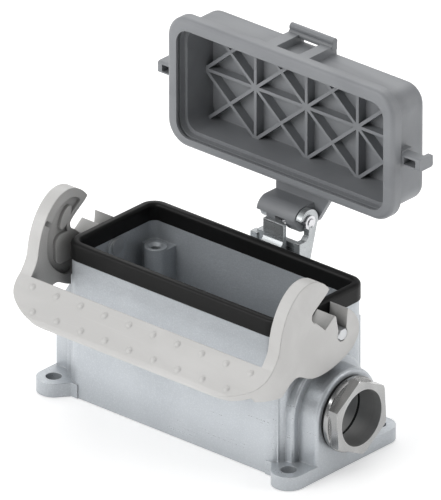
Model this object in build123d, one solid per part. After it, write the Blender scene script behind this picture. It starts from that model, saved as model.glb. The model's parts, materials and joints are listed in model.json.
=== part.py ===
from build123d import *
import math
import os

# Surface-mounting base of a rectangular 16-pole industrial connector, with locking lever and hinged cover.
# Millimetres, +Z up. The origin is the middle of the four fixing holes, on the mounting plane.
# +X is the cable entry end, -Y the side where the opened lever hangs.
# The lever is modelled lowered (open) and the cover standing open, as in the photo.

# fixing feet: the holes stand this far outside the box's faces
foot_out = 4.9
foot_side = 0.5
foot_hole_d = 5.5
foot_r = 6.0
foot_t = 5.0

# box
body_len = 95.2
body_wid = 44.0
corner_r = 5.6
wall_t = 2.7
floor_t = 3.0
shoulder_z = 51.0
rim_h = 4.6
rim_t = 1.7
rim_step = 0.6
under_recess = 0.8

# insert bosses
insert_pitch_x = 77.5
insert_pitch_y = 27.0
insert_boss_r = 3.9
insert_top_z = 45.0
insert_core_r = 1.65
insert_hole_depth = 12.0

# cable entry and blank boss
entry_z = 19.9
boss_r = 15.3
collar_extra = 3.0
collar_len = 3.0
bore_r = 10.0
thread_r = 11.1
collar_lap = 2.2
hex_af = 24.0
seal_t = 0.8
adaptor_collar_t = 2.0
hex_len = 3.7
bore_seal_in = 9.6
bore_seal_w = 1.0

# gasket
gasket_proud = 0.45
gasket_top_t = 1.7
gasket_lap = 0.6

# pivot and studs
pivot_z = 48.0
stud_r = 2.35
stud_flange_r = 2.9
stud_flange_t = 0.5

# lever
cheek_gap = 3.7
cheek_t = 5.0
hub_gap = 1.0
hub_fit = 0.07
grip_slope = 42.0
grip_face = 14.8
grip_t = 3.6
grip_corner_long = 20.0
grip_corner_high = 13.6
dimple_pitch = 10.8
dimple_r = 1.25
dimple_h = 0.5
pocket_depth = 1.2

# cover
cover_over_len = 2.6
cover_over_wid = 1.2
cover_depth = 19.4
flange_t = 4.3
flange_step = 1.8
flange_step_len = 2.3
flange_lift = 1.2
flange_round = 1.6
lip_w = 3.3
lip_len = 4.2
ceiling_t = 2.2
rib_t = 1.2
rib_h = 3.6
bay_pitch = 22.7
peg_h = 4.6
peg_w = 4.4
peg_head_gap = 0.3
peg_head_t = 1.6
peg_head_h = 6.8
seat_gap = 0.3

# latch loop on the cover's far edge
latch_half = 9.6
latch_window = 10.0
latch_rise = 5.8
latch_under = 1.6
latch_bar_t = 2.3
latch_ridge_r = 1.25

# hinge
hinge_back = 13.8
hinge_z = 61.4
knuckle_r = 4.2
pin_r = 1.5
pin_fit = 0.06
knuckle_left = -5.3
knuckle_right = 7.5
spring_left = -1.3
spring_room = 4.4
hood_r = 4.7
hood_t = 1.15
hood_over = 4.0
arm_back = 5.2
arm_t = 2.2
arm_wide = 14.0
ear_left_t = 3.3
ear_right_t = 2.3
ear_gap = 0.3
ear_head_r = 4.5
tab_left = -4.5
tab_right = 4.4
tab_t = 1.6
wire_r = 0.4
rivet_r = 1.5

# derived sizes
foot_pitch_x = body_len + 2 * foot_out
foot_pitch_y = body_wid + 2 * foot_side
end_x = foot_pitch_x / 2 + foot_r
half_len = body_len / 2
half_wid = body_wid / 2
in_len = body_len - 2 * wall_t
in_wid = body_wid - 2 * wall_t
in_r = corner_r - wall_t
rim_z = shoulder_z + rim_h
rim_len = body_len - 2 * rim_step
rim_wid = body_wid - 2 * rim_step
rim_r = corner_r - rim_step
gasket_z = rim_z + gasket_top_t
cheek_in = half_len + cheek_gap
cheek_out = cheek_in + cheek_t
hinge_y = half_wid + hinge_back
rim_y = hinge_y - (hinge_z - (gasket_z + seat_gap))
cover_z = hinge_z + hinge_y
flange_x = half_len + cover_over_len
flange_z = half_wid + cover_over_wid
body_x = flange_x - flange_step_len
body_z = flange_z - flange_step
open_x = flange_x - lip_len
open_z = flange_z - lip_w
cave_x = open_x - 1.2
cave_z = open_z - 1.2
back_y = rim_y + cover_depth
ear_left_x = knuckle_left - ear_gap
ear_right_x = knuckle_right + ear_gap
hood_left = knuckle_left - hood_over
hood_in = hood_r - hood_t
collar_r = thread_r + collar_lap
hub_r = pivot_z - (entry_z + boss_r + collar_extra) - 0.5


def slab(length, width, radius, z0, z1):
    return extrude(Plane.XY.offset(z0) * RectangleRounded(length, width, radius), z1 - z0)


def rod_x(radius, x0, x1, y, z):
    plane = Plane(origin=(x0, y, z), x_dir=(0, 1, 0), z_dir=(1, 0, 0))
    return extrude(plane * Circle(radius), x1 - x0)


def rod_y(radius, y0, y1, x, z):
    plane = Plane(origin=(x, y0, z), x_dir=(1, 0, 0), z_dir=(0, 1, 0))
    return extrude(plane * Circle(radius), y1 - y0)


def block(x0, x1, y0, y1, z0, z1):
    size = Box(x1 - x0, y1 - y0, z1 - z0)
    return Pos((x0 + x1) / 2, (y0 + y1) / 2, (z0 + z1) / 2) * size


def side_plate(points, x0, x1):
    # closed outline in (y, z) made solid from x0 to x1
    face = make_face(Polyline(points, close=True))
    return extrude(Pos(x0, 0, 0) * (Plane.YZ * face), x1 - x0, dir=(1, 0, 0))


def arch(radius, x0, x1):
    # round-topped block standing on the mounting plane, axis at the cable entry height
    face = Rectangle(2 * radius, entry_z, align=(Align.CENTER, Align.MIN)) + Pos(0, entry_z) * Circle(radius)
    return extrude(Pos(x0, 0, 0) * (Plane.YZ * face), x1 - x0, dir=(1, 0, 0))


def tangent_point(cx, cy, r, qx, qy, side):
    # where the straight line from q touches the circle
    reach = math.hypot(qx - cx, qy - cy)
    angle = math.atan2(qy - cy, qx - cx) + side * math.acos(r / reach)
    return cx + r * math.cos(angle), cy + r * math.sin(angle)


def foot_plate(end):
    # plate across one end with a round lug at each fixing hole and a web to the box's corner
    hole_x = foot_pitch_x / 2
    hole_y = foot_pitch_y / 2
    root_x = half_len - corner_r
    face = Pos((root_x + end_x) / 2, 0) * Rectangle(end_x - root_x, foot_pitch_y)
    for side in (-1, 1):
        web_x = half_len - 3.4
        web_y = half_wid - 0.2
        touch = tangent_point(hole_x, hole_y, foot_r, web_x, web_y, -1)
        web = [(web_x, web_y * side), (touch[0], touch[1] * side), (hole_x, hole_y * side), (root_x, 0)]
        face += make_face(Polyline(web, close=True))
        face += Pos(hole_x, hole_y * side) * Circle(foot_r)
    plate = extrude(face, foot_t)
    for side in (-1, 1):
        plate -= Pos(hole_x, hole_y * side, foot_t / 2) * Cylinder(foot_hole_d / 2, foot_t + 2)
    return plate if end > 0 else mirror(plate, Plane.YZ)


def end_boss(end):
    body = arch(boss_r, half_len - 1.0, end_x)
    body = fillet(body.faces().sort_by(Axis.X)[-1].edges().filter_by(lambda e: e.center().Z > 1), 1.2)
    root = arch(boss_r + collar_extra, half_len - 1.0, half_len + collar_len)
    root = fillet(root.faces().sort_by(Axis.X)[-1].edges().filter_by(lambda e: e.center().Z > 1), 1.0)
    boss = body + root
    return boss if end > 0 else mirror(boss, Plane.YZ)


def insert_boss(sx, sy):
    # round screw boss with a web into the corner of the box
    x = sx * insert_pitch_x / 2
    y = sy * insert_pitch_y / 2
    column = Pos(x, y, insert_top_z / 2) * Cylinder(insert_boss_r, insert_top_z)
    wx = sx * (half_len - wall_t / 2)
    wy = sy * (half_wid - wall_t / 2)
    near = sx * (insert_pitch_x / 2 - insert_boss_r)
    low = sy * (insert_pitch_y / 2)
    web_z = insert_top_z - 0.7
    web = block(min(near, wx), max(near, wx), min(low, wy), max(low, wy), 0.5, web_z)
    return column + web


def housing():
    shell = slab(body_len, body_wid, corner_r, 0, shoulder_z)
    shell += slab(rim_len, rim_wid, rim_r, shoulder_z, rim_z)
    shell += foot_plate(1)
    shell += foot_plate(-1)
    shell += end_boss(1)
    shell += end_boss(-1)
    rim_in_r = max(rim_r - rim_t, 1.0)
    shell -= slab(in_len, in_wid, in_r, floor_t, shoulder_z)
    shell -= slab(rim_len - 2 * rim_t, rim_wid - 2 * rim_t, rim_in_r, shoulder_z, rim_z + 1)
    for sx in (-1, 1):
        for sy in (-1, 1):
            shell += insert_boss(sx, sy)
        # pad for the pivot stud inside the end wall
        x0 = sx * (half_len - wall_t - 1.0)
        x1 = sx * (half_len - 0.5)
        shell += rod_x(4.6, min(x0, x1), max(x0, x1), 0, pivot_z - 1.8)
    for sx in (-1, 1):
        for sy in (-1, 1):
            x = sx * insert_pitch_x / 2
            y = sy * insert_pitch_y / 2
            z0 = insert_top_z - insert_hole_depth
            shell -= Pos(x, y, (z0 + insert_top_z + 1) / 2) * Cylinder(insert_core_r, insert_hole_depth + 1)
            sink = Cone(insert_core_r - 0.2, insert_core_r + 1.0, 1.2)
            shell -= Pos(x, y, insert_top_z - 0.6 + 0.001) * sink
        shell -= rod_x(stud_r - 0.33, -half_len - 2, half_len + 2, 0, pivot_z)
    shell -= rod_x(thread_r + 0.05, 0, end_x + 1, 0, entry_z)
    for x in rivet_places():
        shell -= rod_y(rivet_r + 0.02, half_wid - rivet_depth(), half_wid + 1, x, rivet_z())
    inset = 8.0
    shell -= slab(body_len - inset, body_wid - inset, 4.0, -1, under_recess)
    return shell


def rim_gasket():
    outer = slab(body_len + 2 * gasket_proud, body_wid + 2 * gasket_proud, corner_r + gasket_proud,
                 shoulder_z + 0.05, gasket_z)
    in_x = rim_len - 2 * rim_t - 2 * gasket_lap
    in_y = rim_wid - 2 * rim_t - 2 * gasket_lap
    ring = outer - slab(in_x, in_y, max(rim_r - rim_t - gasket_lap, 0.8), shoulder_z - 1, gasket_z + 1)
    top = ring.faces().filter_by(Axis.Z).sort_by(Axis.Z)[-1]
    ring = fillet(top.edges(), 1.4)
    slot = slab(rim_len + 0.04, rim_wid + 0.04, rim_r, shoulder_z - 1, rim_z + 0.02)
    slot -= slab(rim_len - 2 * rim_t - 0.04, rim_wid - 2 * rim_t - 0.04, max(rim_r - rim_t, 1.0),
                 shoulder_z - 2, rim_z + 2)
    return ring - slot


def stud(end):
    inside = half_len - wall_t - 1.0
    pin = rod_x(stud_r - 0.35, inside - 0.02, half_len, 0, pivot_z)
    pin += rod_x(stud_flange_r, half_len, half_len + stud_flange_t, 0, pivot_z)
    neck = rod_x(stud_r, half_len, cheek_out + 0.3, 0, pivot_z)
    neck = chamfer(neck.faces().sort_by(Axis.X)[-1].edges(), 0.4)
    flats = block(half_len, cheek_out + 1, -stud_r, stud_r, pivot_z - 1.85, pivot_z + 1.85)
    pin += neck & flats
    pin += rod_x(stud_r + 0.5, inside - 0.37, inside - 0.02, 0, pivot_z)
    return pin if end > 0 else mirror(pin, Plane.YZ)


def grip_frame():
    # origin on the upper edge of the grip's face, x along the lever, y up the slope, z out of the face
    a = math.radians(grip_slope)
    start = lever_top_front()
    return Plane(origin=(0, start[0], start[1]), x_dir=(1, 0, 0), z_dir=(0, -math.sin(a), math.cos(a)))


def lever_top_front():
    return -(half_wid + 12.8), pivot_z - 1.0


def grip_point(down, deep):
    # (y, z) of a point that lies down the face and deep into the bar
    a = math.radians(grip_slope)
    y, z = lever_top_front()
    return y - down * math.cos(a) + deep * math.sin(a), z - down * math.sin(a) - deep * math.cos(a)


def cheek_face():
    # side view of the lever in (y, z): hook, front edge, grip, pivot lobe, two teeth and the peg notch
    def at(y, z):
        return (y, pivot_z + z)

    tip = at(-6.6, 19.1)
    front = at(-31.2, 6.4)
    corner = grip_point(0, 0)
    toe = grip_point(grip_face - 1.6, 0)
    nose = grip_point(grip_face, 1.5)
    heel = grip_point(grip_face - 1.2, grip_t)
    sole = at(-30.0, -12.4)
    crest2 = at(2.6, 8.75)
    crest1 = at(-3.9, 8.25)
    key = stud_r + hub_fit
    mouth = math.sqrt(key * key - 1.92 * 1.92)
    edges = [
        Spline([tip, at(-10.2, 22.6), at(-15.0, 24.5), at(-19.6, 24.0), at(-24.6, 20.7), at(-28.3, 15.6),
                at(-30.4, 10.2), front]),
        Spline([front, at(-31.7, 4.0), at(-33.0, 1.4), corner]),
        Line(corner, toe),
        Spline([toe, nose, heel]),
        Line(heel, sole),
        Spline([sole, at(-26.4, -9.2), at(-22.3, -7.8), at(-18.9, -9.2), at(-15.2, -10.8), at(-10.8, -11.3),
                at(-5.6, -10.8), at(-0.8, -9.6), at(4.1, -7.4), at(7.6, -3.9), at(8.4, 0.4), at(6.6, 4.9),
                crest2]),
        Line(crest2, at(1.92, mouth)),
        ThreePointArc(at(1.92, mouth), at(0, -key), at(-1.92, mouth)),
        Line(at(-1.92, mouth), at(-3.2, 7.7)),
        Line(at(-3.2, 7.7), crest1),
        Line(crest1, at(-8.6, 4.7)),
        Line(at(-8.6, 4.7), at(-13.2, 8.9)),
        Spline([at(-13.2, 8.9), at(-15.1, 10.4), at(-15.3, 11.9), at(-13.8, 13.7), at(-10.4, 16.1), tip]),
    ]
    return make_face(Wire(edges))


def cheek_pocket():
    # shallow track on the inner face that leaves a rim, an oval island and a D-shaped island
    def at(y, z):
        return (y, pivot_z + z)

    outline = Spline([at(-10.4, 19.0), at(-12.9, 20.7), at(-17.2, 20.8), at(-20.8, 19.1), at(-23.3, 16.7),
                      at(-25.5, 13.0), at(-26.7, 6.9), at(-26.4, 3.1), at(-24.5, -0.8), at(-20.2, -4.8),
                      at(-15.8, -6.4), at(-13.2, -4.6), at(-13.4, -1.0), at(-14.4, 3.0), at(-15.6, 7.4),
                      at(-16.7, 10.2), at(-16.6, 12.6), at(-14.8, 15.0), at(-11.8, 17.2)], periodic=True)
    face = make_face(outline)
    face -= Pos(-17.4, pivot_z + 14.7) * Rot(0, 0, 58) * Ellipse(4.3, 2.0)
    face -= Pos(-18.0, pivot_z + 3.9) * RectangleRounded(9.0, 10.8, 2.9)
    face += Pos(-25.9, pivot_z + 15.0) * Rot(0, 0, -38) * Rectangle(3.8, 1.7)
    return face


def locking_lever():
    side = cheek_face()
    lever = extrude(Pos(-cheek_out, 0, 0) * (Plane.YZ * side), 2 * cheek_out, dir=(1, 0, 0))
    top_out = grip_point(0, -2.4)
    top_in = grip_point(0, grip_t)
    low_in = grip_point(grip_face + 5, grip_t)
    far = pivot_z + 40
    under = pivot_z - 25
    hollow = [top_out, top_in, low_in, (low_in[0], under), (30, under), (30, far), (top_out[0], far)]
    lever -= side_plate(hollow, -cheek_in, cheek_in)
    # hub and teeth reach further in than the cheeks
    lobe = side & (Pos(0, pivot_z) * Circle(hub_r))
    reach = cheek_gap - hub_gap
    lever += extrude(Pos(cheek_in - reach, 0, 0) * (Plane.YZ * lobe), reach, dir=(1, 0, 0))
    lever += extrude(Pos(-cheek_in, 0, 0) * (Plane.YZ * lobe), reach, dir=(1, 0, 0))
    # lower corners of the grip
    tall = 160.0
    frame = grip_frame()
    low = -grip_face - 0.02
    flat = cheek_out - grip_corner_long
    high = low + grip_corner_high
    right = Spline([(flat, low), (flat + 0.7071 * grip_corner_long, low + 0.2929 * grip_corner_high),
                    (cheek_out, high)], tangents=[(1, 0), (0, 1)])
    left = Spline([(-cheek_out, high), (-flat - 0.7071 * grip_corner_long, low + 0.2929 * grip_corner_high),
                   (-flat, low)], tangents=[(0, -1), (1, 0)])
    top = Polyline([(cheek_out, high), (cheek_out, tall), (-cheek_out, tall), (-cheek_out, high)])
    blank = make_face(Line((-flat, low), (flat, low)) + right + top + left)
    lever = lever & extrude(frame.offset(-90) * blank, 180)
    pocket = cheek_pocket()
    lever -= extrude(Pos(cheek_in, 0, 0) * (Plane.YZ * pocket), pocket_depth, dir=(1, 0, 0))
    lever -= extrude(Pos(-cheek_in - pocket_depth, 0, 0) * (Plane.YZ * pocket), pocket_depth, dir=(1, 0, 0))
    # two staggered rows of grip dimples
    sphere_r = (dimple_r ** 2 + dimple_h ** 2) / (2 * dimple_h)
    for count, down in ((10, 3.2), (9, grip_face - 3.6)):
        for i in range(count):
            x = (i - (count - 1) / 2) * dimple_pitch
            ball = frame.offset(dimple_h - sphere_r) * Pos(x, -down, 0) * Sphere(sphere_r)
            cap = frame.offset(-0.3) * Pos(x, -down, 0.75) * Box(4 * dimple_r, 4 * dimple_r, 1.5)
            lever += ball & cap
    return lever


def cover_block(half_x, half_z, radius, y0, y1, lift=0.0):
    plane = Plane(origin=(0, y0, cover_z + lift), x_dir=(1, 0, 0), z_dir=(0, 1, 0))
    return extrude(plane * RectangleRounded(2 * half_x, 2 * half_z, radius), y1 - y0)


def rib(x0, z0, x1, z1, y0, y1):
    # straight rib between two points of the ceiling
    span = math.hypot(x1 - x0, z1 - z0)
    bar = Box(span, y1 - y0, rib_t)
    turn = -math.degrees(math.atan2(z1 - z0, x1 - x0))
    return Pos((x0 + x1) / 2, (y0 + y1) / 2, cover_z + (z0 + z1) / 2) * Rot(0, turn, 0) * bar


def rib_lattice():
    y1 = back_y - ceiling_t + 0.3
    y0 = y1 - rib_h - 0.3
    edge_x = cave_x + 0.4
    edge_z = cave_z + 0.4
    lattice = rib(-edge_x, 0, edge_x, 0, y0, y1)
    for i in (-1, 0, 1):
        lattice += rib(i * bay_pitch, -edge_z, i * bay_pitch, edge_z, y0, y1)
    hubs = [-edge_x, -bay_pitch, 0.0, bay_pitch, edge_x]
    for a, b in zip(hubs[:-1], hubs[1:]):
        for s in (-1, 1):
            lattice += rib(a, 0, b, s * edge_z, y0, y1)
            lattice += rib(a, s * edge_z, b, 0, y0, y1)
    return lattice


def cover_peg(end):
    # end peg that the lever's hook holds down, hollow where the hook bears, with a head outside the cheek
    y0 = rim_y + flange_t + 0.1
    y1 = y0 + peg_h
    x0 = body_x - 1.2
    head_x = cheek_out + peg_head_gap
    z0 = cover_z - peg_w / 2
    z1 = cover_z + peg_w / 2
    peg = block(x0, head_x + 0.3, y0, y1, z0, z1)
    peg = fillet(peg.edges().filter_by(Axis.X), 0.9)
    foot = block(x0, body_x + 2.4, y0, y1 + 1.2, z0 - 0.7, z1 + 0.7)
    peg += fillet(foot.edges().filter_by(Axis.X), 0.9)
    head = block(head_x, head_x + peg_head_t, y0, y0 + peg_head_h, z0, z1)
    peg += fillet(head.edges().filter_by(Axis.X), 0.9)
    peg -= block(cheek_in - 0.1, cheek_out, y0 - 1, y1 - 1.1, z0 + 0.9, z1 - 0.9)
    return peg if end > 0 else mirror(peg, Plane.YZ)


def latch_loop():
    # open loop on the far edge: two arms that carry a bar with two ridges
    front_y = rim_y + flange_t - 0.3
    rear_y = back_y - 1.0
    base_z = cover_z + body_z
    arm_top = cover_z + flange_z + flange_lift
    under = base_z + latch_under
    ridge_z = base_z + latch_rise - latch_ridge_r
    loop = block(-latch_half, latch_half, rear_y - latch_bar_t, rear_y - 0.1, under, ridge_z)
    loop += rod_x(latch_ridge_r, -latch_half, latch_half, rear_y - latch_ridge_r, ridge_z)
    loop += rod_x(latch_ridge_r - 0.15, -latch_half, latch_half, rear_y - 1.75, under + 1.0)
    x0 = latch_window / 2
    x1 = latch_half - 0.1
    for a, b in ((-x1, -x0), (x0, x1)):
        loop += block(a, b, front_y, rear_y - 0.2, base_z - 1.0, arm_top)
        loop += block(a, b, rear_y - latch_bar_t + 0.1, rear_y - 0.2, base_z - 1.0, ridge_z)
    return loop


def knuckles():
    # the spring sits between the two knuckles
    return (knuckle_left, spring_left), (spring_left + spring_room, knuckle_right)


def hinge_arm():
    # plate down from the cover's back that turns forward over the pin and ends in a curled hood
    plate_y = hinge_y + arm_back
    low = hinge_z - 2.0
    top = cover_z - body_z + 1.0
    outline = [(hood_left, low), (knuckle_right + 1.4, low), (arm_wide, hinge_z + 6.8), (arm_wide, top),
               (hood_left, top)]
    plane = Plane(origin=(0, plate_y + arm_t, 0), x_dir=(1, 0, 0), z_dir=(0, -1, 0))
    arm = extrude(plane * make_face(Polyline(outline, close=True)), arm_t)
    arm += block(hood_left, knuckle_right, hinge_y, plate_y + 0.5, hinge_z + hood_in, hinge_z + hood_r)
    hood = rod_x(hood_r, hood_left, knuckle_right, hinge_y, hinge_z)
    hood -= rod_x(hood_in, hood_left - 1, knuckle_right + 1, hinge_y, hinge_z)
    arm += hood & block(hood_left, knuckle_right, hinge_y - 2 * hood_r, hinge_y,
                        hinge_z + 0.6, hinge_z + 2 * hood_r)
    for x0, x1 in knuckles():
        arm += rod_x(knuckle_r, x0, x1, hinge_y, hinge_z)
        arm += block(x0, x1, hinge_y, plate_y + 0.5, hinge_z - 1.5, hinge_z + hood_r - 0.2)
    return arm - rod_x(pin_r + pin_fit, knuckle_left - 1, knuckle_right + 1, hinge_y, hinge_z)


def cover():
    body = cover_block(body_x, body_z, 7.0, rim_y + 0.5, back_y)
    rear = body.faces().sort_by(Axis.Y)[-1]
    body = fillet(rear.edges(), 2.6)
    lift = flange_lift / 2
    flange = cover_block(flange_x, flange_z + lift, 8.6, rim_y, rim_y + flange_t, lift)
    front = flange.faces().sort_by(Axis.Y)[0]
    flange = fillet(front.edges(), flange_round)
    shell = body + flange
    shell -= cover_block(open_x, open_z, 5.4, rim_y - 1, rim_y + flange_t)
    shell -= cover_block(cave_x, cave_z, 4.6, rim_y - 1, back_y - ceiling_t)
    # narrow groove inside the lip
    groove = cover_block(open_x + 0.8, open_z + 0.8, 6.2, rim_y + 1.0, rim_y + 2.0)
    shell -= groove
    shell += rib_lattice()
    shell += cover_peg(1)
    shell += cover_peg(-1)
    shell += latch_loop()
    shell += hinge_arm()
    return shell


def rivet_places():
    middle = (ear_left_x + ear_right_x) / 2
    return middle - 6.5, middle + 6.5


def rivet_z():
    return pivot_z - 9.0


def ear(x0, x1, head_r):
    # ear that stands below and behind the pin, stepped back where the hood swings past
    front = hinge_y - 0.1
    foot = hinge_y - 4.8
    step = hinge_z - 6.7
    wall = half_wid + 1.0
    outline = [(front, hinge_z), (front, step + 1.6), (front - 1.6, step), (foot, step), (foot, pivot_z - 1.0),
               (wall, pivot_z - 2.0), (wall, pivot_z - 6.0), (hinge_y - 3.0, pivot_z - 6.0),
               (hinge_y + 0.8, pivot_z - 0.2), (hinge_y + head_r - 0.1, hinge_z - 0.5)]
    plate = side_plate(outline, x0, x1) + rod_x(head_r, x0, x1, hinge_y, hinge_z)
    return plate - rod_x(pin_r + 0.02, x0 - 1, x1 + 1, hinge_y, hinge_z)


def front_tab():
    # ramp up from the base plate that ends in a tall tab in front of the hood
    rear = hinge_y - hood_r - 0.4
    front = rear - tab_t
    root = half_wid + 2.0
    low = pivot_z - 5.5
    outline = [(rear, hinge_z - 0.6), (front, hinge_z - 0.6), (front, pivot_z + 6.5), (root, pivot_z - 1.6),
               (root, low), (rear, low)]
    return side_plate(outline, tab_left, tab_right)


def hinge_bracket():
    left = ear_left_x - ear_left_t
    right = ear_right_x + ear_right_t
    base = block(left - 1.5, right + 1.5, half_wid, half_wid + 2.2, rivet_z() - 5.0, pivot_z - 1.5)
    base = fillet(base.edges().filter_by(Axis.Y), 1.5)
    bracket = base + ear(left, ear_left_x, hood_in - 0.35)
    # the right ear is an open hook, so the pin shows in front
    hook = ear(ear_right_x, right, ear_head_r)
    hook -= block(ear_right_x - 1, right + 1, hinge_y - 2 * ear_head_r, hinge_y - 0.1,
                  hinge_z - ear_head_r - 1.0, hinge_z + pin_r - 0.14)
    bracket += hook
    bracket += block(left, right, half_wid + 1, hinge_y - 1.5, pivot_z - 5.5, pivot_z - 3.0)
    web_y = hinge_y - 3.4
    bracket += block(left + 0.5, right - 0.5, web_y, web_y + 2.2, pivot_z - 4.0, pivot_z + 5.4)
    bracket += front_tab()
    bracket += block(left - 2.5, left + 0.5, hinge_y - 5.4, hinge_y - 2.4, pivot_z + 2.6, pivot_z + 5.4)
    for x in rivet_places():
        bracket -= rod_y(rivet_r + 0.02, half_wid - 1, half_wid + 4, x, rivet_z())
    return bracket


def rivet_depth():
    # the holes stay blind so that the inside of the box is plain
    return wall_t - 0.6


def rivet(x):
    z = rivet_z()
    inner = half_wid - rivet_depth() + 0.05
    outer = half_wid + 2.2
    body = rod_y(rivet_r, inner, outer, x, z)
    head = rod_y(2.9, outer, outer + 1.1, x, z)
    head = fillet(head.faces().sort_by(Axis.Y)[-1].edges(), 0.8)
    return body + head


def hinge_pin():
    left = ear_left_x - ear_left_t
    right = ear_right_x + ear_right_t
    pin = rod_x(pin_r, left - 0.4, right + 1.0, hinge_y, hinge_z)
    pin = chamfer(pin.faces().sort_by(Axis.X)[-1].edges(), 0.3)
    pin += rod_x(pin_r + 0.9, left - 1.0, left, hinge_y, hinge_z)
    groove = rod_x(pin_r + 1, right + 0.08, right + 0.66, hinge_y, hinge_z)
    groove -= rod_x(pin_r - 0.35, right, right + 1, hinge_y, hinge_z)
    return pin - groove


def pin_ring():
    # open retaining ring in the pin's groove
    right = ear_right_x + ear_right_t
    ring = rod_x(pin_r + 0.95, right + 0.1, right + 0.64, hinge_y, hinge_z)
    ring -= rod_x(pin_r - 0.33, right, right + 1, hinge_y, hinge_z)
    ring -= block(right, right + 1, hinge_y - 0.9, hinge_y + 0.9, hinge_z - 6, hinge_z)
    return ring


def cover_spring():
    # torsion spring round the pin: a coil and two short legs, all inside the hood
    coil_r = pin_r + 0.35 + wire_r
    turns = 3.0
    reach = 1.6
    height = spring_room - ear_gap * 2 - 2 * wire_r
    coil = Helix(pitch=height / turns, height=height, radius=coil_r)
    leg_in = Line(coil @ 0 - coil % 0 * reach, coil @ 0)
    leg_out = Line(coil @ 1, coil @ 1 + coil % 1 * reach)
    path = Wire([leg_in.edge(), coil.edge(), leg_out.edge()])
    section = Plane(origin=path @ 0, z_dir=path % 0) * Circle(wire_r)
    place = Pos(spring_left + ear_gap + wire_r, hinge_y, hinge_z) * Rot(0, 90, 0)
    return place * sweep(section, path=path)


def hex_face():
    return Rot(0, 0, 34) * RegularPolygon(hex_af / 2, 6, major_radius=False)


def cable_adaptor():
    plane = Plane(origin=(end_x, 0, entry_z), x_dir=(0, 1, 0), z_dir=(1, 0, 0))
    seat = end_x + seal_t
    body = rod_x(thread_r, half_len - wall_t, seat, 0, entry_z)
    collar = rod_x(collar_r, seat, seat + adaptor_collar_t, 0, entry_z)
    collar = chamfer(collar.edges().filter_by(GeomType.CIRCLE), 0.35)
    nut = extrude(plane.offset(seal_t + adaptor_collar_t - 0.2) * hex_face(), hex_len + 0.2)
    round_r = hex_af / 2 + 0.9
    round_end = extrude(plane.offset(seal_t) * Circle(round_r + 6), adaptor_collar_t + hex_len)
    round_end = chamfer(round_end.faces().sort_by(Axis.X)[-1].edges(), 3.0, 5.6)
    nut = nut & round_end
    body += collar
    body += nut
    body -= rod_x(bore_r, half_len - wall_t - 1, end_x + 20, 0, entry_z)
    groove = seat + adaptor_collar_t + hex_len - bore_seal_in
    body -= rod_x(bore_r + 0.6, groove - bore_seal_w, groove, 0, entry_z)
    return body


def flat_seal():
    ring = rod_x(collar_r - 0.3, end_x, end_x + seal_t, 0, entry_z)
    return ring - rod_x(thread_r + 0.05, end_x - 1, end_x + seal_t + 1, 0, entry_z)


def bore_seal():
    # lies in its groove down the bore, flush with the bore's wall
    front = end_x + seal_t + adaptor_collar_t + hex_len - bore_seal_in - 0.02
    ring = rod_x(bore_r + 0.58, front - bore_seal_w + 0.04, front, 0, entry_z)
    return ring - rod_x(bore_r + 0.02, front - 4, front + 4, 0, entry_z)


def save(shape, name):
    export_step(shape, "parts/" + name + ".step")
    print(name, "volume", round(shape.volume, 1), "valid", shape.is_valid, "solids", len(shape.solids()))


os.makedirs("parts", exist_ok=True)
save(housing(), "housing")
save(rim_gasket(), "rim_gasket")
save(Compound([stud(1), stud(-1)]), "lever_studs")
save(locking_lever(), "locking_lever")
save(cover(), "cover")
save(hinge_bracket(), "hinge_bracket")
save(Compound([rivet(x) for x in rivet_places()]), "bracket_rivets")
save(hinge_pin(), "hinge_pin")
save(pin_ring(), "pin_ring")
save(cover_spring(), "cover_spring")
save(cable_adaptor(), "cable_adaptor")
save(flat_seal(), "adaptor_seal")
save(bore_seal(), "bore_seal")
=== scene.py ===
import json
import math

import bpy
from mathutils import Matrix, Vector

# connector housing base: looks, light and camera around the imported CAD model, in metres

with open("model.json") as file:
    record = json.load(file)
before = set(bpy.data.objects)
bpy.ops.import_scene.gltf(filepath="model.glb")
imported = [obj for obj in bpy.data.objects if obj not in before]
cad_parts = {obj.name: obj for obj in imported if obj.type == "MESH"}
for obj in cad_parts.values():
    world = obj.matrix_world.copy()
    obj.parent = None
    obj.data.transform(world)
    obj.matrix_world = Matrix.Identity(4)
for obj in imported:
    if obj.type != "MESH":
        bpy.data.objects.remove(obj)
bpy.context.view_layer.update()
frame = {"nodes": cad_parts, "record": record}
print("frame loaded,", len(frame["nodes"]), "nodes")


shot = {
    "azimuth": 41.611,       # degrees, from the front towards the right
    "elevation": 26.03,
    "sensor": 36.0,          # millimetres
    "clip": (0.5, 60.0),
    "distance": 6.0,
    "frameHeight": 0.16652,  # what 500 pixels show at the object
    "aim": (0.0, 0.0, 0.060),
    "aimRight": 0.0016975,   # the picture's middle, seen from the aim
    "aimUp": 0.000763,
}


def cameraSide():
    # unit direction from the object to the camera
    az = math.radians(shot["azimuth"])
    el = math.radians(shot["elevation"])
    return Vector((math.sin(az) * math.cos(el), -math.cos(az) * math.cos(el), math.sin(el)))


def setCamera():
    az = math.radians(shot["azimuth"])
    back = cameraSide()
    right = Vector((math.cos(az), math.sin(az), 0.0))
    up = back.cross(right)
    middle = Vector(shot["aim"]) + right * shot["aimRight"] + up * shot["aimUp"]
    data = bpy.data.cameras.new("photoCamera")
    data.sensor_fit = "AUTO"
    data.sensor_width = shot["sensor"]
    data.lens = shot["sensor"] * shot["distance"] / shot["frameHeight"]
    data.clip_start, data.clip_end = shot["clip"]
    cam = bpy.data.objects.new("photoCamera", data)
    bpy.context.scene.collection.objects.link(cam)
    cam.location = middle + back * shot["distance"]
    cam.rotation_mode = "QUATERNION"
    cam.rotation_quaternion = (-back).to_track_quat("-Z", "Y")
    bpy.context.scene.camera = cam
    print("camera set, lens", round(data.lens))


setCamera()


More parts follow.
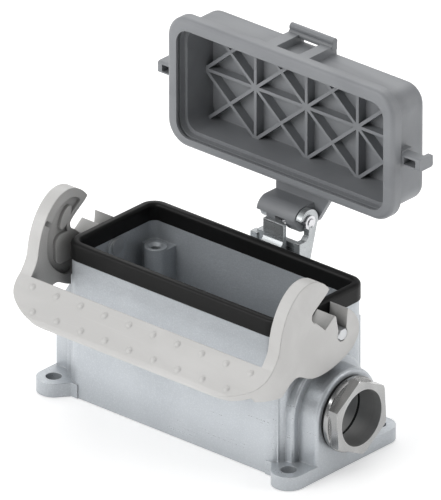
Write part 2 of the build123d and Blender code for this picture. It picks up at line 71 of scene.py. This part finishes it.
# a pale room: white floor, soft boxes in front, behind on the right and above
studio = {
    "floorShade": 0.92,
    "floorReach": 6.0,
    "floorDrop": 0.0002,     # just under the feet
    "floorGlow": 0.32,       # keeps the shadows on the floor pale
    "worldShade": 1.0,
    "worldStrength": 0.60,
    "darkSide": 0.03,        # the unlit side of the room behind the camera, for reflections
    "darkCone": (0.80, 0.93),
    "aim": (0.0, 0.0, 0.05),
    "boxes": {               # place, size and watts
        "skySoftbox": ((-0.36, 0.52, 0.80), (0.8, 0.8), 3.6),
        "frontSoftbox": ((-0.32, -0.92, 0.66), (0.9, 0.5), 6.3),
        "rearSoftbox": ((1.0, 0.62, 0.55), (0.45, 0.45), 2.4),
    },
}


def softLight(name, place, size, power):
    data = bpy.data.lights.new(name, "AREA")
    data.shape = "RECTANGLE"
    data.size, data.size_y = size
    data.energy = power
    lamp = bpy.data.objects.new(name, data)
    bpy.context.scene.collection.objects.link(lamp)
    lamp.location = place
    lamp.rotation_mode = "QUATERNION"
    lamp.rotation_quaternion = (Vector(studio["aim"]) - Vector(place)).to_track_quat("-Z", "Y")


def buildStudio():
    world = bpy.data.worlds.new("paleRoom")
    bpy.context.scene.world = world
    world.use_nodes = True
    tree = world.node_tree
    sky = tree.nodes["Background"]
    sky.inputs["Strength"].default_value = studio["worldStrength"]
    # cosine of the angle to the camera's side gives a soft round patch without light
    way = tree.nodes.new("ShaderNodeTexCoord")
    dot = tree.nodes.new("ShaderNodeVectorMath")
    dot.operation = "DOT_PRODUCT"
    tree.links.new(way.outputs["Generated"], dot.inputs[0])
    dot.inputs[1].default_value = cameraSide()
    patch = tree.nodes.new("ShaderNodeMapRange")
    patch.interpolation_type = "SMOOTHSTEP"
    tree.links.new(dot.outputs["Value"], patch.inputs["Value"])
    patch.inputs["From Min"].default_value, patch.inputs["From Max"].default_value = studio["darkCone"]
    patch.inputs["To Min"].default_value = studio["worldShade"]
    patch.inputs["To Max"].default_value = studio["darkSide"]
    tree.links.new(patch.outputs["Result"], sky.inputs["Color"])

    # one flat sheet with no upturned end, which would hide the object from behind
    reach = studio["floorReach"]
    corners = [(x * reach, y * reach, -studio["floorDrop"]) for x, y in ((-1, -1), (1, -1), (1, 1), (-1, 1))]
    mesh = bpy.data.meshes.new("paleFloor")
    mesh.from_pydata(corners, [], [(0, 1, 2, 3)])
    floor = bpy.data.objects.new("paleFloor", mesh)
    bpy.context.scene.collection.objects.link(floor)
    paint = bpy.data.materials.new("paleFloor")
    paint.use_nodes = True
    skin = paint.node_tree.nodes["Principled BSDF"]
    skin.inputs["Base Color"].default_value = (studio["floorShade"],) * 3 + (1.0,)
    skin.inputs["Roughness"].default_value = 0.9
    skin.inputs["Specular IOR Level"].default_value = 0.1
    skin.inputs["Emission Color"].default_value = (1.0, 1.0, 1.0, 1.0)
    skin.inputs["Emission Strength"].default_value = studio["floorGlow"]
    mesh.materials.append(paint)

    for name, (place, size, power) in studio["boxes"].items():
        softLight(name, place, size, power)
    bpy.context.scene.view_settings.view_transform = "Standard"
    print("studio built")


buildStudio()


# small helpers for node trees
def addNode(tree, kind, at=(0, 0), **settings):
    node = tree.nodes.new(kind)
    node.location = at
    for key, value in settings.items():
        setattr(node, key, value)
    return node


def link(tree, source, target):
    tree.links.new(source, target)


def feed(tree, value, socket):
    # a number is set on the socket, an output is linked to it, and None leaves it
    if isinstance(value, (int, float)):
        socket.default_value = value
    elif value is not None:
        link(tree, value, socket)


def newGroup(name, takes, gives):
    tree = bpy.data.node_groups.new(name, "ShaderNodeTree")
    for label, kind, value in takes:
        socket = tree.interface.new_socket(name=label, in_out="INPUT", socket_type=kind)
        if value is not None:
            socket.default_value = value
    for label, kind in gives:
        tree.interface.new_socket(name=label, in_out="OUTPUT", socket_type=kind)
    start = addNode(tree, "NodeGroupInput", (-900, 0))
    end = addNode(tree, "NodeGroupOutput", (900, 0))
    return tree, start, end


def mathNode(tree, operation, a, b=None, clamp=False, at=(0, 0)):
    node = addNode(tree, "ShaderNodeMath", at, operation=operation, use_clamp=clamp)
    for socket, value in zip(node.inputs, (a, b)):
        feed(tree, value, socket)
    return node.outputs[0]


def mapRange(tree, value, fromLow, fromHigh, toLow=0.0, toHigh=1.0, at=(0, 0)):
    node = addNode(tree, "ShaderNodeMapRange", at, interpolation_type="SMOOTHSTEP")
    link(tree, value, node.inputs["Value"])
    limits = {"From Min": fromLow, "From Max": fromHigh, "To Min": toLow, "To Max": toHigh}
    for label, amount in limits.items():
        node.inputs[label].default_value = amount
    return node.outputs["Result"]


def noiseNode(tree, place, scale, detail, at=(0, 0), roughness=0.5, distortion=0.0):
    node = addNode(tree, "ShaderNodeTexNoise", at)
    feed(tree, place, node.inputs["Vector"])
    feed(tree, scale, node.inputs["Scale"])
    node.inputs["Detail"].default_value = detail
    node.inputs["Roughness"].default_value = roughness
    node.inputs["Distortion"].default_value = distortion
    return node.outputs["Fac"]


def stretched(tree, place, scale, at=(0, 0), rotation=(0.0, 0.0, 0.0), location=(0.0, 0.0, 0.0)):
    node = addNode(tree, "ShaderNodeMapping", at)
    feed(tree, place, node.inputs["Vector"])
    node.inputs["Scale"].default_value = scale
    node.inputs["Rotation"].default_value = rotation
    node.inputs["Location"].default_value = location
    return node.outputs["Vector"]


def scaled(tree, colour, share, at=(0, 0)):
    node = addNode(tree, "ShaderNodeVectorMath", at, operation="SCALE")
    link(tree, colour, node.inputs[0])
    node.inputs["Scale"].default_value = share
    return node.outputs[0]


# shared effects
edgeLook = {
    "samples": 6, "patchScale": 420.0, "patchDetail": 4.0, "patchRange": (0.35, 0.65), "leastPatch": 0.25,
    "turnRange": (0.02, 0.28),
}


def makeEdgeGroup():
    # rounded shading over sharp edges, and a mask of those edges: one minus the dot product of the rounded
    # normal with the true one, broken up by noise. The mask lightens the colour along edges, partly as wear
    # and partly as a painted highlight
    look = edgeLook
    tree, start, end = newGroup("edgeWear",
                                [("Radius", "NodeSocketFloat", 0.0004), ("Wear", "NodeSocketFloat", 0.5),
                                 ("Coordinates", "NodeSocketVector", None)],
                                [("Normal", "NodeSocketVector"), ("Edge", "NodeSocketFloat")])
    rounding = addNode(tree, "ShaderNodeBevel", (-600, 200), samples=look["samples"])
    link(tree, start.outputs["Radius"], rounding.inputs["Radius"])
    shape = addNode(tree, "ShaderNodeNewGeometry", (-600, 0))
    dot = addNode(tree, "ShaderNodeVectorMath", (-400, 100), operation="DOT_PRODUCT")
    link(tree, rounding.outputs["Normal"], dot.inputs[0])
    link(tree, shape.outputs["Normal"], dot.inputs[1])
    turned = mathNode(tree, "SUBTRACT", 1.0, dot.outputs["Value"], at=(-200, 100))
    patches = noiseNode(tree, start.outputs["Coordinates"], look["patchScale"], look["patchDetail"],
                        (-600, -300))
    broken = mapRange(tree, patches, *look["patchRange"], look["leastPatch"], 1.0, at=(-200, -250))
    edge = mapRange(tree, turned, *look["turnRange"], at=(0, 100))
    edge = mathNode(tree, "MULTIPLY", edge, broken, at=(200, 0))
    edge = mathNode(tree, "MULTIPLY", edge, start.outputs["Wear"], clamp=True, at=(400, 0))
    link(tree, rounding.outputs["Normal"], end.inputs["Normal"])
    link(tree, edge, end.inputs["Edge"])
    return tree


castLook = {
    "grainRoughness": 0.6, "grainShare": 0.6, "swellScale": 700.0, "detail": 3.0,
    "cloudScale": 34.0, "cloudDetail": 5.0, "cloudRoughness": 0.55, "cloudRange": (0.3, 0.7),
    "fleckRange": (0.48, 0.66),
}


def makeCastGroup():
    # die-cast skin: fine grain, a coarser orange-peel swell and slow cloudiness, all noise
    look = castLook
    tree, start, end = newGroup("castSkin",
                                [("Coordinates", "NodeSocketVector", None),
                                 ("Grain", "NodeSocketFloat", 1900.0)],
                                [("Height", "NodeSocketFloat"), ("Cloud", "NodeSocketFloat"),
                                 ("Fleck", "NodeSocketFloat")])
    place = start.outputs["Coordinates"]
    fine = noiseNode(tree, place, start.outputs["Grain"], look["detail"], (-600, 300), look["grainRoughness"])
    swell = noiseNode(tree, place, look["swellScale"], look["detail"], (-600, 50))
    cloud = noiseNode(tree, place, look["cloudScale"], look["cloudDetail"], (-600, -200),
                      look["cloudRoughness"])
    tall = mathNode(tree, "MULTIPLY", fine, look["grainShare"], at=(-300, 300))
    link(tree, mathNode(tree, "ADD", tall, swell, at=(-100, 200)), end.inputs["Height"])
    link(tree, mapRange(tree, cloud, *look["cloudRange"], at=(-300, -200)), end.inputs["Cloud"])
    link(tree, mapRange(tree, fine, *look["fleckRange"], at=(-300, -400)), end.inputs["Fleck"])
    return tree


mouldLook = {
    "textureDetail": 2.0, "flowStretch": (0.35, 1.0, 1.0), "flowScale": 60.0, "flowDetail": 4.0,
    "flowDistortion": 0.6, "flowRange": (0.32, 0.68),
}


def makeMouldGroup():
    # moulded plastic: spark-eroded texture from fine noise, and faint flow marks from stretched noise
    look = mouldLook
    tree, start, end = newGroup("mouldSkin",
                                [("Coordinates", "NodeSocketVector", None),
                                 ("Texture", "NodeSocketFloat", 3400.0)],
                                [("Height", "NodeSocketFloat"), ("Flow", "NodeSocketFloat")])
    place = start.outputs["Coordinates"]
    erode = noiseNode(tree, place, start.outputs["Texture"], look["textureDetail"], (-600, 200))
    along = stretched(tree, place, look["flowStretch"], (-800, -150))
    flow = noiseNode(tree, along, look["flowScale"], look["flowDetail"], (-600, -150),
                     distortion=look["flowDistortion"])
    link(tree, erode, end.inputs["Height"])
    link(tree, mapRange(tree, flow, *look["flowRange"], at=(-300, -150)), end.inputs["Flow"])
    return tree


scuffLook = {
    "turns": (0.5, -0.9),    # radians
    "sideTurn": 0.6,         # share of the turn that goes about Y
    "stretch": (30.0, 1500.0, 1500.0),
    "range": (0.66, 0.74),
}


def makeScuffGroup():
    # handling marks: two sets of thin streaks, each one noise stretched fiftyfold along a slant
    look = scuffLook
    tree, start, end = newGroup("fineScuffs", [("Coordinates", "NodeSocketVector", None)],
                                [("Scuff", "NodeSocketFloat")])
    marks = []
    for turn, at in zip(look["turns"], (200, -100)):
        slant = stretched(tree, start.outputs["Coordinates"], look["stretch"], (-800, at),
                          (turn, turn * look["sideTurn"], turn))
        streak = noiseNode(tree, slant, 1.0, 1.0, (-600, at))
        marks.append(mapRange(tree, streak, *look["range"], at=(-400, at)))
    link(tree, mathNode(tree, "MAXIMUM", *marks, at=(-100, 0)), end.inputs["Scuff"])
    return tree


hollowLook = {"samples": 8, "darkest": 0.25}


def makeHollowGroup():
    # painted shade: how far a spot lies in a hollow, one minus the share of open sky within the reach; it
    # darkens the colour where nearby parts block the light
    tree, start, end = newGroup("hollowShade",
                                [("Reach", "NodeSocketFloat", 0.03), ("Amount", "NodeSocketFloat", 0.5)],
                                [("PaintedShade", "NodeSocketFloat")])
    sky = addNode(tree, "ShaderNodeAmbientOcclusion", (-500, 0), samples=hollowLook["samples"])
    link(tree, start.outputs["Reach"], sky.inputs["Distance"])
    closed = mathNode(tree, "SUBTRACT", 1.0, sky.outputs["AO"], at=(-300, 0))
    link(tree, mathNode(tree, "MULTIPLY", closed, start.outputs["Amount"], clamp=True, at=(-100, 0)),
         end.inputs["PaintedShade"])
    return tree


edgeWear = makeEdgeGroup()
hollowShade = makeHollowGroup()
castSkin = makeCastGroup()
mouldSkin = makeMouldGroup()
fineScuffs = makeScuffGroup()


def startMaterial(name, shine=0.5):
    material = bpy.data.materials.new(name)
    material.use_nodes = True
    tree = material.node_tree
    skin = tree.nodes["Principled BSDF"]
    skin.inputs["Specular IOR Level"].default_value = shine
    place = addNode(tree, "ShaderNodeTexCoord", (-1400, 0)).outputs["Object"]
    return material, tree, skin, place


def useGroup(tree, group, place, at=(0, 0), **values):
    node = addNode(tree, "ShaderNodeGroup", at)
    node.node_tree = group
    for key, value in values.items():
        node.inputs[key].default_value = value
    link(tree, place, node.inputs["Coordinates"])
    return node


def mixColour(tree, mask, low, high, at=(0, 0)):
    node = addNode(tree, "ShaderNodeMix", at, data_type="RGBA")
    link(tree, mask, node.inputs["Factor"])
    for socket, value in ((node.inputs[6], low), (node.inputs[7], high)):
        if isinstance(value, tuple):
            socket.default_value = value + (1.0,)
        else:
            link(tree, value, socket)
    return node.outputs[2]


def paintedHollowShade(tree, colour, amount, reach, at=(0, 0)):
    # the colour, with painted shade darkening it in hollows and between parts
    node = addNode(tree, "ShaderNodeGroup", (at[0] - 200, at[1] - 200))
    node.node_tree = hollowShade
    node.inputs["Amount"].default_value = amount
    node.inputs["Reach"].default_value = reach
    dark = scaled(tree, colour, hollowLook["darkest"], (at[0] - 200, at[1]))
    return mixColour(tree, node.outputs["PaintedShade"], colour, dark, at)


def bumpOver(tree, height, normal, strength, distance, skin, at=(0, 0)):
    bump = addNode(tree, "ShaderNodeBump", at)
    bump.inputs["Strength"].default_value = strength
    bump.inputs["Distance"].default_value = distance
    link(tree, height, bump.inputs["Height"])
    link(tree, normal, bump.inputs["Normal"])
    link(tree, bump.outputs["Normal"], skin.inputs["Normal"])


# materials, one for each finish
plasticSpread = 0.07    # added roughness where the flow marks are faint
metalDetail = 3.0
noiseRange = (0.3, 0.7)

castAluminium = {
    "base": (0.50, 0.53, 0.56), "light": (0.57, 0.60, 0.63), "paintedGlint": (0.84, 0.87, 0.90),
    "edge": (0.88, 0.89, 0.90), "metallic": (0.46, 0.56), "roughness": 0.34, "roughSpread": 0.08,
    "edgeRadius": 0.0004, "wearAndHighlight": 0.8, "grain": 1900.0, "bump": 1.0, "depth": 0.00012, "hollowShadeAmount": 0.6,
    "reach": 0.015, "paintedGlintShare": 0.2, "scuffShine": 0.06, "fleckShine": 0.04,
}


def makeCastAluminium():
    values = castAluminium
    material, tree, skin, place = startMaterial("castAluminium")
    cast = useGroup(tree, castSkin, place, (-1100, 200), Grain=values["grain"])
    edge = useGroup(tree, edgeWear, place, (-1100, -200), Radius=values["edgeRadius"], Wear=values["wearAndHighlight"])
    scuff = useGroup(tree, fineScuffs, place, (-1100, -500))
    colour = mixColour(tree, cast.outputs["Cloud"], values["base"], values["light"], (-700, 200))
    # near-white specks in the colour are painted glints, the sparkle of the cast skin where light grazes it
    paintedGlints = mathNode(tree, "MULTIPLY", cast.outputs["Fleck"], values["paintedGlintShare"], at=(-850, 50))
    colour = mixColour(tree, paintedGlints, colour, values["paintedGlint"], (-500, 200))
    # lighter edges: wear, and a painted highlight along them
    colour = mixColour(tree, edge.outputs["Edge"], colour, values["edge"], (-300, 200))
    # the base colour carries painted shade in hollows and between parts
    link(tree, paintedHollowShade(tree, colour, values["hollowShadeAmount"], values["reach"], (-100, 400)), skin.inputs["Base Color"])
    rough = mapRange(tree, cast.outputs["Cloud"], 0.0, 1.0, values["roughness"] + values["roughSpread"],
                     values["roughness"], (-500, -50))
    shines = ((scuff.outputs["Scuff"], values["scuffShine"]), (cast.outputs["Fleck"], values["fleckShine"]))
    for source, share in shines:
        shine = mathNode(tree, "MULTIPLY", source, share, at=(-500, -350))
        rough = mathNode(tree, "SUBTRACT", rough, shine, at=(-300, -100))
    link(tree, rough, skin.inputs["Roughness"])
    link(tree, mapRange(tree, cast.outputs["Fleck"], 0.0, 1.0, *values["metallic"], at=(-300, 0)),
         skin.inputs["Metallic"])
    bumpOver(tree, cast.outputs["Height"], edge.outputs["Normal"], values["bump"], values["depth"], skin,
             (-300, -350))
    return material


def makePlastic(name, values):
    material, tree, skin, place = startMaterial(name, values["shine"])
    mould = useGroup(tree, mouldSkin, place, (-1100, 200), Texture=values["texture"])
    edge = useGroup(tree, edgeWear, place, (-1100, -200), Radius=values["edgeRadius"], Wear=values["wearAndHighlight"])
    scuff = useGroup(tree, fineScuffs, place, (-1100, -500))
    colour = mixColour(tree, mould.outputs["Flow"], values["base"], values["light"], (-700, 200))
    # lighter edges: wear, and a painted highlight along them
    colour = mixColour(tree, edge.outputs["Edge"], colour, values["edge"], (-500, 200))
    marks = mathNode(tree, "MULTIPLY", scuff.outputs["Scuff"], values["scuff"], at=(-700, -300))
    colour = mixColour(tree, marks, colour, values["edge"], (-300, 200))
    # the base colour carries painted shade in hollows and between parts
    link(tree, paintedHollowShade(tree, colour, values["hollowShadeAmount"], values["reach"], (-100, 400)), skin.inputs["Base Color"])
    rough = mapRange(tree, mould.outputs["Flow"], 0.0, 1.0, values["roughness"] + plasticSpread,
                     values["roughness"], (-500, -50))
    link(tree, rough, skin.inputs["Roughness"])
    bumpOver(tree, mould.outputs["Height"], edge.outputs["Normal"], values["bump"], values["depth"], skin,
             (-300, -350))
    return material


leverPlastic = {
    "base": (0.54, 0.535, 0.525), "light": (0.59, 0.585, 0.575), "edge": (0.70, 0.695, 0.685),
    "roughness": 0.40, "edgeRadius": 0.0006, "wearAndHighlight": 0.35, "texture": 3000.0, "scuff": 0.10,
    "bump": 0.25, "depth": 0.00003, "hollowShadeAmount": 1.0, "reach": 0.03, "shine": 0.5,
}
coverPlastic = {
    "base": (0.218, 0.226, 0.239), "light": (0.247, 0.256, 0.269), "edge": (0.40, 0.41, 0.42),
    "roughness": 0.42, "edgeRadius": 0.0002, "wearAndHighlight": 0.45, "texture": 3200.0, "scuff": 0.06,
    "bump": 0.25, "depth": 0.00003, "hollowShadeAmount": 0.1, "reach": 0.01, "shine": 0.5,
}
gasketRubber = {
    "base": (0.004, 0.004, 0.004), "light": (0.007, 0.007, 0.007), "edge": (0.025, 0.025, 0.025),
    "roughness": 0.40, "edgeRadius": 0.0004, "wearAndHighlight": 0.40, "texture": 2200.0, "scuff": 0.05,
    "bump": 0.20, "depth": 0.00004, "hollowShadeAmount": 0.3, "reach": 0.01, "shine": 0.2,
}
sealRubber = {
    "base": (0.008, 0.008, 0.008), "light": (0.012, 0.012, 0.012), "edge": (0.03, 0.03, 0.03),
    "roughness": 0.55, "edgeRadius": 0.0002, "wearAndHighlight": 0.30, "texture": 3000.0, "scuff": 0.0,
    "bump": 0.20, "depth": 0.00003, "hollowShadeAmount": 0.3, "reach": 0.01, "shine": 0.3,
}

nickelBrass = {
    "base": (0.36, 0.36, 0.36), "light": (0.44, 0.44, 0.435), "edge": (0.80, 0.79, 0.78), "roughness": 0.20,
    "roughSpread": 0.08, "edgeRadius": 0.00025, "wearAndHighlight": 0.6, "ringStretch": (1500.0, 12.0, 12.0),
    "cloudScale": 90.0, "cloudDetail": 4.0, "axisHeight": 0.0199, "boreRadius": 0.01012, "paintedBoreLight": 1.25,
    "boreRoughness": 0.32, "bump": 0.08, "depth": 0.00001,
}


def makeNickel():
    # turned metal: fine rings along the bore's axis, which is X
    values = nickelBrass
    material, tree, skin, place = startMaterial("nickelBrass")
    edge = useGroup(tree, edgeWear, place, (-1100, -200), Radius=values["edgeRadius"], Wear=values["wearAndHighlight"])
    turned = noiseNode(tree, stretched(tree, place, values["ringStretch"], (-1100, 200)), 1.0, metalDetail,
                       (-900, 200))
    cloud = noiseNode(tree, place, values["cloudScale"], values["cloudDetail"], (-900, -50))
    clouded = mapRange(tree, cloud, *noiseRange, at=(-700, -50))
    # inside the bore, where the distance from its axis is small, the metal is rougher and its colour is
    # lighter: painted light on the bore's inner wall
    apart = stretched(tree, place, (0.0, 1.0, 1.0), (-1100, 500), location=(0.0, 0.0, -values["axisHeight"]))
    length = addNode(tree, "ShaderNodeVectorMath", (-900, 500), operation="LENGTH")
    link(tree, apart, length.inputs[0])
    inside = mathNode(tree, "LESS_THAN", length.outputs["Value"], values["boreRadius"], at=(-700, 500))
    colour = mixColour(tree, clouded, values["base"], values["light"], (-600, 200))
    # lighter edges: wear, and a painted highlight along them
    colour = mixColour(tree, edge.outputs["Edge"], colour, values["edge"], (-400, 300))
    # painted light: a lighter copy of the colour for the bore's inside
    bore = scaled(tree, colour, values["paintedBoreLight"], (-400, 500))
    link(tree, mixColour(tree, inside, colour, bore, (-200, 300)), skin.inputs["Base Color"])
    rough = mapRange(tree, turned, *noiseRange, values["roughness"],
                     values["roughness"] + values["roughSpread"], (-500, 0))
    more = mathNode(tree, "MULTIPLY", inside, values["boreRoughness"], at=(-500, -150))
    link(tree, mathNode(tree, "ADD", rough, more, at=(-300, 0)), skin.inputs["Roughness"])
    skin.inputs["Metallic"].default_value = 1.0
    bumpOver(tree, turned, edge.outputs["Normal"], values["bump"], values["depth"], skin, (-300, -350))
    return material


drawnLook = {
    "stretch": (60.0, 2400.0, 2400.0), "cloudScale": 140.0, "cloudDetail": 5.0, "roughSpread": 0.12,
    "bump": 0.12, "depth": 0.00002,
}


def makeSteel(name, values):
    # drawn or stamped steel: fine streaks along X over cloudy zinc
    look = drawnLook
    material, tree, skin, place = startMaterial(name)
    edge = useGroup(tree, edgeWear, place, (-1100, -200), Radius=values["edgeRadius"], Wear=values["wearAndHighlight"])
    along = stretched(tree, place, look["stretch"], (-1100, 200))
    drawn = noiseNode(tree, along, 1.0, metalDetail, (-900, 200))
    cloud = noiseNode(tree, place, look["cloudScale"], look["cloudDetail"], (-900, -50))
    clouded = mapRange(tree, cloud, *noiseRange, at=(-700, -50))
    colour = mixColour(tree, clouded, values["base"], values["light"], (-500, 200))
    # lighter edges: wear, and a painted highlight along them
    colour = mixColour(tree, edge.outputs["Edge"], colour, values["edge"], (-300, 200))
    link(tree, colour, skin.inputs["Base Color"])
    rough = mapRange(tree, drawn, *noiseRange, values["roughness"], values["roughness"] + look["roughSpread"],
                     (-400, 0))
    link(tree, rough, skin.inputs["Roughness"])
    skin.inputs["Metallic"].default_value = values["metallic"]
    bumpOver(tree, drawn, edge.outputs["Normal"], look["bump"], look["depth"], skin, (-300, -350))
    return material


bracketSteel = {
    "base": (0.44, 0.46, 0.47), "light": (0.54, 0.56, 0.57), "edge": (0.85, 0.86, 0.87),
    "metallic": 0.75, "roughness": 0.26, "edgeRadius": 0.0003, "wearAndHighlight": 0.6,
}
pinSteel = {
    "base": (0.60, 0.60, 0.62), "light": (0.72, 0.72, 0.74), "edge": (0.85, 0.85, 0.86),
    "metallic": 1.0, "roughness": 0.10, "edgeRadius": 0.0002, "wearAndHighlight": 0.3,
}
studSteel = {
    "base": (0.50, 0.51, 0.53), "light": (0.60, 0.61, 0.62), "edge": (0.75, 0.76, 0.77),
    "metallic": 0.9, "roughness": 0.30, "edgeRadius": 0.0002, "wearAndHighlight": 0.3,
}

finishes = {
    "casting": makeCastAluminium(),
    "lever_plastic": makePlastic("leverPlastic", leverPlastic),
    "cover_plastic": makePlastic("coverPlastic", coverPlastic),
    "gasket_rubber": makePlastic("gasketRubber", gasketRubber),
    "seal_rubber": makePlastic("sealRubber", sealRubber),
    "nickel": makeNickel(),
    "bracket_metal": makeSteel("bracketSteel", bracketSteel),
    "pin_steel": makeSteel("pinSteel", pinSteel),
    "stud_steel": makeSteel("studSteel", studSteel),
}
print("materials made,", len(finishes))

slotOf = {part["node"]: part["material_slot"] for part in frame["record"]["subparts"]}


def dressNodes():
    for name, node in frame["nodes"].items():
        node.data.materials.clear()
        node.data.materials.append(finishes[slotOf[name]])
    print("nodes dressed")


dressNodes()
